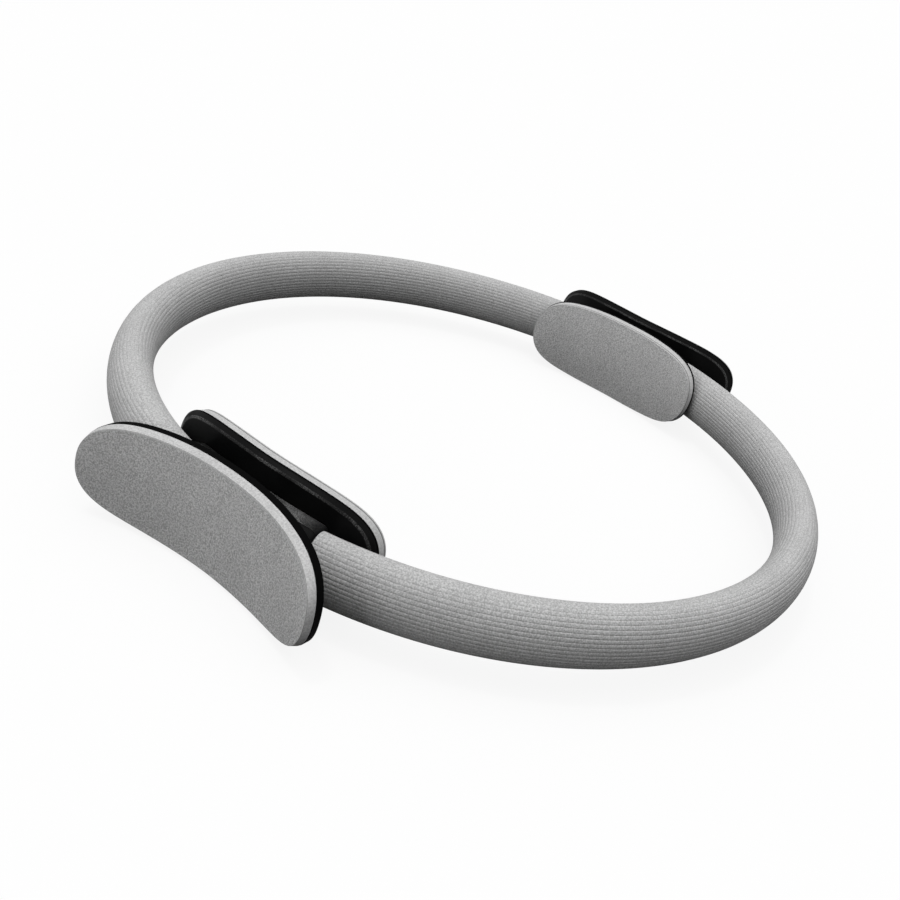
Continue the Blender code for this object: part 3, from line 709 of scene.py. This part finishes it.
def strip_slot(angles):
    """The cutter for the slot along a sleeve."""
    half = SPRING_THICKNESS / 2 + SPRING_CLEARANCE
    tool = rectangle("slot", -half, half, SPRING_HEIGHT / 2 + SPRING_CLEARANCE)
    past = ring_step(angles[0], CUT_PAST)
    return sweep(tool, [angles[0] - past, *angles[1:-1], angles[-1] + past])


body_angles = way(SLEEVE_START, SEAM_ANGLE)
turns = spread(0.0, math.pi / 2, 4)
shares = [END_SCALE + (1 - END_SCALE) * math.sin(turn) for turn in turns]
end_angles = [SLEEVE_START + ring_step(SLEEVE_START, END_ROUNDING * (1 - math.cos(turn))) for turn in turns]
angles = seamed(end_angles + [angle for angle in body_angles if angle > end_angles[-1] + LEAST_TURN], False)
grow = [(after / before,) * 3 for before, after in zip(shares, shares[1:])]
grow += [(1.0, 1.0, 1.0)] * (len(angles) - len(grow))
end_length = copy_section("far_left_sleeve_end_visual")
edit(end_length)
bpy.ops.transform.resize(value=(END_SCALE,) * 3, center_override=(0.0, 0.0, 0.0))
done()
sweep(end_length, angles, grow)
boolean(end_length, strip_slot(angles), "DIFFERENCE")

side_angles = seamed(way(SEAM_ANGLE, math.pi / 2), True)
side_length = sweep(copy_section("far_left_sleeve_side_visual"), side_angles)
boolean(side_length, strip_slot(side_angles), "DIFFERENCE")
remove(section)
for piece in (end_length, side_length):
    piece.data.materials.clear()
    piece.data.materials.append(sleeve_foam)
    smooth(piece, 50.0)
    print(piece.name, len(piece.data.polygons), "faces")

# %% [markdown]
# The steel strip inside is one long spring from block to block. It gets the same four lengths, with
# its long edges rounded as rolled strip has them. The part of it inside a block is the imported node.

# %% Lengths of spring strip
STRIP_EDGE = 0.0004
STRIP_BEFORE_HINGE = 0.0113


def strip_length(name, angles):
    """A length of spring strip with rounded long edges."""
    half = SPRING_THICKNESS / 2
    piece = rectangle(name, -half, half, SPRING_HEIGHT / 2)
    edit(piece)
    bpy.ops.mesh.bevel(offset=STRIP_EDGE, segments=3, affect="VERTICES")
    done()
    sweep(piece, angles)
    piece.data.materials.clear()
    piece.data.materials.append(spring_steel)
    smooth(piece, 50.0)
    return piece


strip_start = HANDLE_HINGE_ANGLE - ring_step(HANDLE_HINGE_ANGLE, STRIP_BEFORE_HINGE)
end_strip = strip_length("far_left_strip_end_visual", seamed(way(strip_start, SEAM_ANGLE), False))
side_strip = strip_length("far_left_strip_side_visual", side_angles)
print("strip lengths", len(end_strip.data.polygons), len(side_strip.data.polygons), "faces")

# %% [markdown]
# The four quarters of the ring are mirror images, so each length is copied three times. The copies
# come first. Each piece has its place baked into its mesh, and the imported nodes it replaces are
# hidden. The bend half-lengths are listed but nothing reads them, and no piece is bent here: long at
# the side, so that a squeezed ring would stay one round curve, shorter beside the handle, and for the
# steel strip ending where the strip enters the block.

# %% All four quarters, in place
HANDLE_BEND_HALF = 0.018
STRIP_BEND_HALF = 0.011
SIDE_BEND_HALF = 0.060
QUARTERS = {
    "near_left": (True, False), "far_right": (False, True),
    "near_right": (True, True), "far_left": (False, False),
}


def bend_between(piece):
    """Bakes a piece's place into its mesh; the piece is not bent."""
    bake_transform(piece)


for quarter, (across_x, across_y) in QUARTERS.items():
    word, side = quarter.split("_")
    handle = "right_far_end" if quarter == "far_right" else f"{word}_handle"
    moving, middle = f"{side}_{word}_stretch", f"{side}_side_stretch"
    kinds = (
        (end_length, "sleeve_end", handle, moving, HANDLE_HINGE_ANGLE, HANDLE_BEND_HALF),
        (side_length, "sleeve_side", moving, middle, SIDE_HINGE_ANGLE, SIDE_BEND_HALF),
        (end_strip, "strip_end", handle, moving, HANDLE_HINGE_ANGLE, STRIP_BEND_HALF),
        (side_strip, "strip_side", moving, middle, SIDE_HINGE_ANGLE, SIDE_BEND_HALF),
    )
    for source, kind, first, second, hinge_angle, half in kinds:
        piece = source
        if quarter != "far_left":
            piece = mirrored(source, f"{quarter}_{kind}_visual", across_x, across_y)
        bend_between(piece)
        stretch = f"{quarter}_sleeve" if "sleeve" in kind else f"{quarter}_spring"
        if kind == "sleeve_end":
            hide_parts(stretch, f"{quarter}_sleeve_end")
        elif kind == "sleeve_side":
            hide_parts(stretch, f"{side}_side_sleeve")
        elif kind == "strip_end":
            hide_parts(stretch)
        else:
            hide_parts(stretch, f"{side}_side_spring")
print("quarters", list(QUARTERS))

# %% [markdown]
# A handle's plates and pads are flat sheets with rounded ends, bent about an upright axis. They are
# drawn flat: a grid of one row, whose upper and lower points are moved to the outline. Such a sheet
# bends without creasing, because all its cross lines stay upright.

# %% Sheets with rounded ends
OUTLINE_SPACING = 0.0011
OUTLINE_FINE_STEPS = 4000
REST_FLAT_HALF_LENGTH = 0.0080


def outline_point(share, half_length, half_height, long_edge_drop, end_power, edge_power):
    """A point of the outline's upper right quarter, from the end of its flat (0) to the far end (1).

    The long edge falls like a flat arch, and the powers say how far the end is from a plain ellipse.
    """
    arch = half_height - long_edge_drop * share**2
    along = REST_FLAT_HALF_LENGTH + (half_length - REST_FLAT_HALF_LENGTH) * share
    return along, arch * (1 - share**end_power) ** (1 / edge_power)


def outline_places(half_length, half_height, form):
    """Evenly spaced points of the upper outline, from the left end to the right end."""
    fine = [(0.0, half_height)]
    fine += [outline_point(1 - step**3, half_length, half_height, *form)
             for step in spread(1.0, 0.0, OUTLINE_FINE_STEPS)]
    lengths = [0.0]
    for before, after in zip(fine, fine[1:]):
        lengths.append(lengths[-1] + math.dist(before, after))
    count = round(lengths[-1] / OUTLINE_SPACING)
    right = []
    i = 0
    for step in range(count):
        wanted = lengths[-1] * (step + 0.5) / count
        while lengths[i + 1] < wanted:
            i += 1
        share = (wanted - lengths[i]) / (lengths[i + 1] - lengths[i])
        right.append(tuple(a + (b - a) * share for a, b in zip(fine[i], fine[i + 1])))
    return [(-along, height) for along, height in reversed(right)] + right


def sheet(name, half_length, half_height, form):
    """A flat sheet on the outline, in its own plane: X along it and Y up."""
    places = outline_places(half_length, half_height, form)
    columns = len(places)
    bpy.ops.object.select_all(action="DESELECT")
    bpy.ops.mesh.primitive_grid_add(x_subdivisions=columns - 1, y_subdivisions=1, size=1.0)
    piece = named(name)
    for vertex in piece.data.vertices:
        along, height = places[round((vertex.co.x + 0.5) * (columns - 1))]
        vertex.co = (along, math.copysign(height, vertex.co.y), 0.0)
    return piece


def build_up(piece, wall, steps):
    """Extrudes a sheet to a wall, then draws its face in by (inset, rise) steps."""
    edit(piece)
    bpy.ops.mesh.extrude_region_move(TRANSFORM_OT_translate={"value": (0.0, 0.0, wall)})
    for inset, rise in steps:
        bpy.ops.mesh.inset(thickness=inset, depth=rise, use_boundary=True, use_even_offset=True)
    done()


def bend_round(piece, axis, front_radius, side):
    """Bends a flat sheet about an upright axis, and stands it up in the far handle.

    The sheet's top face comes to the front radius, and what lies under it to larger ones. Outward
    sheets (1) lie on the ring's side of their axis and inward ones (-1) beyond it, seen from the
    middle of the ring.
    """
    top = max(vertex.co.z for vertex in piece.data.vertices)
    for vertex in piece.data.vertices:
        radius = front_radius + top - vertex.co.z
        turn = vertex.co.x / radius
        x = axis - side * radius * math.cos(turn)
        vertex.co = (x, radius * math.sin(turn), MID_HEIGHT + vertex.co.y)
    face_out(piece)


print("outline spacing", OUTLINE_SPACING)

# %% [markdown]
# The outer pad is a hollow for the palm. It is die-cut foam with a thin skin glued to its face. The
# rim is cut at a slant and catches the light from above, and the glue shows as a thin dark line. The
# inner pad follows the hoop, is thicker, and has a straighter rim.

# %% The pads
OUTER_FACE_RADIUS = 0.1380
OUTER_PAD_HALF_LENGTH = 0.0700
OUTER_PAD_THICKNESS = 0.0040
FACE, CUT, GLUE = 0, 1, 2
OUTER_PAD_STEPS = ((0.00120, 0.00300, CUT), (0.00010, 0.00015, GLUE), (0.00020, 0.00010, CUT),
                   (0.00030, 0.00005, CUT))
OUTER_FORM = (0.0057, 6.7, 2.3)
INNER_FACE_RADIUS = 0.1750
INNER_PAD_HALF_LENGTH = 0.0599
INNER_PAD_THICKNESS = 0.0057
INNER_PAD_STEPS = ((0.00045, 0.00290, CUT), (0.00008, 0.00065, GLUE), (0.00015, 0.00085, CUT),
                   (0.00030, 0.00010, CUT))
INNER_FORM = (0.0059, 7.0, 2.3)
PAD_HALF_HEIGHT = 0.0252
PAD_TO_PLATE = 0.0003
OUTER_PLATE_FRONT_RADIUS = OUTER_FACE_RADIUS + OUTER_PAD_THICKNESS + PAD_TO_PLATE
INNER_PLATE_FRONT_RADIUS = INNER_FACE_RADIUS + INNER_PAD_THICKNESS + PAD_TO_PLATE

OUTER_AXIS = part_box("far_outer_pad")[0].x + OUTER_FACE_RADIUS + OUTER_PAD_THICKNESS
INNER_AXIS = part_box("far_inner_pad")[1].x - INNER_FACE_RADIUS - INNER_PAD_THICKNESS
LEVEL_TOLERANCE = 1e-6


def pad(name, half_length, form, thickness, steps, axis, face_radius, side):
    """A foam pad. Each step of its rim has its own finish, and so has the face."""
    piece = sheet(name, half_length, PAD_HALF_HEIGHT, form)
    levels = [thickness - sum(rise for inset, rise, finish in steps)]
    build_up(piece, levels[0], [(inset, rise) for inset, rise, finish in steps])
    for inset, rise, finish in steps:
        levels.append(levels[-1] + rise)
    for finish in (pad_face_foam, pad_rim_foam, pad_glue):
        piece.data.materials.append(finish)
    for polygon in piece.data.polygons:
        polygon.material_index = FACE if polygon.center.z > levels[-1] - LEVEL_TOLERANCE else CUT
        for (inset, rise, finish), low, high in zip(steps, levels, levels[1:]):
            if low + LEVEL_TOLERANCE < polygon.center.z < high - LEVEL_TOLERANCE:
                polygon.material_index = finish
    bend_round(piece, axis, face_radius, side)
    smooth(piece, 24.0)
    return piece


outer_pad = pad("far_outer_pad_visual", OUTER_PAD_HALF_LENGTH, OUTER_FORM,
                OUTER_PAD_THICKNESS, OUTER_PAD_STEPS, OUTER_AXIS, OUTER_FACE_RADIUS, 1)
inner_pad = pad("far_inner_pad_visual", INNER_PAD_HALF_LENGTH, INNER_FORM,
                INNER_PAD_THICKNESS, INNER_PAD_STEPS, INNER_AXIS, INNER_FACE_RADIUS, -1)
for word in ("near", "far"):
    for source, kind in ((outer_pad, "outer"), (inner_pad, "inner")):
        piece = source if word == "far" else mirrored(source, f"near_{kind}_pad_visual", True, False)
        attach(piece, f"{word}_handle")
        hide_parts(f"{word}_{kind}_pad")
print("outer axis", round(OUTER_AXIS, 4), "inner axis", round(INNER_AXIS, 4))

# %% [markdown]
# Behind each pad is a plate, and between the two plates a block that holds the ends of the hoop.
# A plate and its half of the block are one moulding. The plate is a sheet again. Its back is drawn in
# at a slant, with soft corners that carry a painted highlight. The block is swept along the ring. Its crown
# is a flat arch across the hoop, and rises a little towards the middle along it. A drum about the plate's
# axis trims the block to the plate's curve before the two are joined.

# %% Plates and half blocks
EDGE_SOFTNESS = 0.0004
EDGE_FOOT = 0.15
EDGE_TURN = 0.68
RIM_NORMAL = 0.5
BACK, RIM, CORNER_HIGHLIGHT, CROWN_HIGHLIGHT = 0, 1, 2, 3
OUTER_PLATE = (0.0042, 0.0034, 0.0026, 0.0002)
INNER_PLATE = (0.0025, 0.0011, 0.0028, 0.0004)
BLOCK_HALF_HEIGHT = 0.0147
BLOCK_CROWN_HALF_WIDTH = 0.0190
BLOCK_END_ROUNDING = 0.0042
BLOCK_END_DROP = 0.0040
BLOCK_ARCH = 0.0015
BLOCK_STEPS = 30
CROWN_HIGHLIGHT_LEAN = math.radians(60.0)
SHELL_CLEARANCE = 0.0003
BLOCK_REACH = 0.0166


def rounded_corner(start, corner, end, steps):
    """Points on the smooth curve from start to end that a corner pulls towards itself."""
    shares = spread(0.0, 1.0, steps)
    return [tuple((1 - t)**2 * a + 2 * t * (1 - t) * b + t**2 * c for a, b, c in zip(start, corner, end))
            for t in shares]


def plate(name, half_length, form, shape, axis, front_radius, side):
    """A moulded plate: a straight rim, then a slanted edge that turns softly into the flat back.

    The margin is how far the plate stands out past its pad.
    """
    thickness, rim, bevel, margin = shape
    piece = sheet(name, half_length + margin, PAD_HALF_HEIGHT + margin, form)
    rise = thickness - rim
    lower = rounded_corner((0.0, -EDGE_SOFTNESS), (0.0, 0.0), (EDGE_FOOT * bevel, EDGE_FOOT * rise), 4)
    upper = rounded_corner((EDGE_TURN * bevel, EDGE_TURN * rise), (bevel, rise),
                           (bevel + EDGE_SOFTNESS, rise), 6)
    places = lower + upper
    steps = [(b[0] - a[0], b[1] - a[1]) for a, b in zip(places, places[1:])]
    build_up(piece, rim - EDGE_SOFTNESS, steps)
    for finish in (shell_plastic, rim_plastic, corner_highlight_plastic, crown_highlight_plastic):
        piece.data.materials.append(finish)
    corner = rim + upper[0][1]
    for polygon in piece.data.polygons:
        polygon.material_index = BACK
        if abs(polygon.normal.z) < RIM_NORMAL:
            polygon.material_index = RIM
        # The upper round of the slanted edge gets the painted highlight grey.
        elif corner < polygon.center.z < thickness - LEVEL_TOLERANCE:
            polygon.material_index = CORNER_HIGHLIGHT
    settle(piece, scale=(1.0, 1.0, -1.0))
    bend_round(piece, axis, front_radius, side)
    return piece


def half_block(name, side):
    """Half of the block, on the outward (1) or the inward (-1) side of the hoop."""
    bpy.ops.object.select_all(action="DESELECT")
    bpy.ops.mesh.primitive_circle_add(vertices=128, radius=1.0, fill_type="NGON")
    piece = named(name)
    settle(piece, scale=(BLOCK_CROWN_HALF_WIDTH, BLOCK_HALF_HEIGHT, 1.0))
    for distance, keep_outer in ((SHELL_CLEARANCE / 2, True), (BLOCK_REACH, False)):
        edit(piece)
        bpy.ops.mesh.bisect(plane_co=(side * distance, 0.0, 0.0), plane_no=(side, 0.0, 0.0), use_fill=False,
                            clear_inner=keep_outer, clear_outer=not keep_outer)
        done()
    full = BLOCK_ANGLE - ring_step(0.0, BLOCK_END_ROUNDING)
    turns = spread(0.0, math.pi / 2, 8)
    drop = BLOCK_END_DROP / BLOCK_HALF_HEIGHT
    ends = [(full + ring_step(0.0, BLOCK_END_ROUNDING) * math.sin(turn), 1 - drop * (1 - math.cos(turn)))
            for turn in turns]
    arch = BLOCK_ARCH / BLOCK_HALF_HEIGHT
    crown = [(angle, 1.0 + arch * (1 - (angle / full)**2))
             for angle in spread(-full, full, BLOCK_STEPS)[1:-1]]
    stations = [(-angle, scale) for angle, scale in reversed(ends)] + crown + ends
    edit(piece)
    bpy.ops.transform.resize(value=(1.0, stations[0][1], 1.0), center_override=(0.0, 0.0, 0.0))
    done()
    grow = [(1.0, 1.0, after[1] / before[1]) for before, after in zip(stations, stations[1:])]
    sweep(piece, [angle for angle, scale in stations], grow)
    for finish in (shell_plastic, rim_plastic, corner_highlight_plastic, crown_highlight_plastic):
        piece.data.materials.append(finish)
    for polygon in piece.data.polygons:
        # The upward faces of the inner half's crown get the painted highlight grey.
        if side < 0 and abs(polygon.normal.z) > math.cos(CROWN_HIGHLIGHT_LEAN):
            polygon.material_index = CROWN_HIGHLIGHT
    return piece


def drum(axis, radius):
    """A tall cylinder about a plate's axis, to trim a block with."""
    bpy.ops.object.select_all(action="DESELECT")
    bpy.ops.mesh.primitive_cylinder_add(vertices=512, radius=radius, depth=4 * MID_HEIGHT,
                                        location=(axis, 0.0, MID_HEIGHT))
    piece = named("drum")
    settle_here(piece)
    return piece


outer_shell = plate("far_outer_shell_visual", OUTER_PAD_HALF_LENGTH, OUTER_FORM,
                    OUTER_PLATE, OUTER_AXIS, OUTER_PLATE_FRONT_RADIUS, 1)
inner_shell = plate("far_inner_shell_visual", INNER_PAD_HALF_LENGTH, INNER_FORM,
                    INNER_PLATE, INNER_AXIS, INNER_PLATE_FRONT_RADIUS, -1)
outer_block = half_block("outer_block", 1)
boolean(outer_block, drum(OUTER_AXIS, OUTER_PLATE_FRONT_RADIUS + OUTER_PLATE[1] / 2), "DIFFERENCE")
inner_block = half_block("inner_block", -1)
boolean(inner_block, drum(INNER_AXIS, INNER_PLATE_FRONT_RADIUS + INNER_PLATE[1] / 2), "DIFFERENCE")
boolean(outer_shell, outer_block, "UNION")
boolean(inner_shell, inner_block, "UNION")
print("shells", len(outer_shell.data.polygons), len(inner_shell.data.polygons), "faces")

# %% [markdown]
# The halves are hollowed for the strips and the strap, and drilled for the four screws. Each screw's
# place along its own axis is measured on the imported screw, and its hole leaves a little air round it.

# %% Pockets and screw holes
STRAP_THICKNESS = 0.0015
STRAP_HEIGHT = 0.0180
STRAP_HALF_LENGTH = 0.0360
SCREW_PLACES = (-0.0310, -0.0140, 0.0140, 0.0310)
SCREW_SHANK_RADIUS = 0.0016
SCREW_HEAD_RADIUS = 0.0032
SCREW_HEAD_HEIGHT = 0.0019
SCREW_HEAD_RIM = 0.0003
SCREW_AIR = 0.0003
HOLE_START = 0.0020
strap_inner = SPRING_THICKNESS / 2 + SPRING_CLEARANCE
strap_outer = strap_inner + STRAP_THICKNESS + SPRING_CLEARANCE


def pocket(inner, outer, half_height, half_length):
    """A cutter for a strip's room along the hoop."""
    reach = math.asin(half_length / RING_HALF_WIDTH)
    return sweep(rectangle("pocket", inner, outer, half_height), spread(-reach, reach, 24))


def screw_hole(number, place):
    """A cutter for one screw: its head, its cone and its shank, turned about the screw's own axis."""
    angle = math.asin(place / RING_HALF_WIDTH)
    origin, outward = ring_point(angle), ring_normal(angle)
    reaches = [(vertex.co - origin).dot(outward)
               for vertex in frame["nodes"][f"far_handle_screw_{number}"].data.vertices]
    head, tip = min(reaches), max(reaches)
    wide, narrow = SCREW_HEAD_RADIUS + SCREW_AIR, SCREW_SHANK_RADIUS + SCREW_AIR
    levels = ((head - HOLE_START, wide), (head + SCREW_HEAD_RIM + SCREW_AIR, wide),
              (head + SCREW_HEAD_HEIGHT + SCREW_AIR, narrow), (tip + SCREW_AIR, narrow))
    bpy.ops.object.select_all(action="DESELECT")
    bpy.ops.mesh.primitive_circle_add(vertices=32, radius=wide, fill_type="NGON",
                                      location=(0.0, 0.0, head - HOLE_START))
    piece = named("screw_hole")
    settle_here(piece)
    edit(piece)
    for (low, radius), (high, following) in zip(levels, levels[1:]):
        bpy.ops.mesh.extrude_region_move(TRANSFORM_OT_translate={"value": (0.0, 0.0, high - low)})
        share = following / radius
        bpy.ops.transform.resize(value=(share, share, 1.0), center_override=(0.0, 0.0, high))
    done()
    settle(piece, origin, (0.0, math.pi / 2, math.atan2(outward.y, outward.x)))
    face_out(piece)
    return piece


block_end = BLOCK_HALF_LENGTH + BLOCK_END_ROUNDING
strip_room = SPRING_HEIGHT / 2 + SPRING_CLEARANCE
boolean(outer_shell, pocket(-CUT_PAST, strap_inner, strip_room, block_end), "DIFFERENCE")
boolean(outer_shell, pocket(0.0, strap_outer, STRAP_HEIGHT / 2 + SPRING_CLEARANCE,
                            STRAP_HALF_LENGTH + SPRING_CLEARANCE), "DIFFERENCE")
boolean(inner_shell, pocket(-strap_inner, CUT_PAST, strip_room, block_end), "DIFFERENCE")
for number, place in enumerate(SCREW_PLACES, start=1):
    boolean(outer_shell, screw_hole(number, place), "DIFFERENCE")
    boolean(inner_shell, screw_hole(number, place), "DIFFERENCE")
for shell in (outer_shell, inner_shell):
    smooth(shell, 30.0)
for word in ("near", "far"):
    for source, kind in ((outer_shell, "outer"), (inner_shell, "inner")):
        piece = source if word == "far" else mirrored(source, f"near_{kind}_shell_visual", True, False)
        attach(piece, f"{word}_handle")
        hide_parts(f"{word}_{kind}_shell")
print("shells drilled", len(outer_shell.data.polygons), len(inner_shell.data.polygons), "faces")
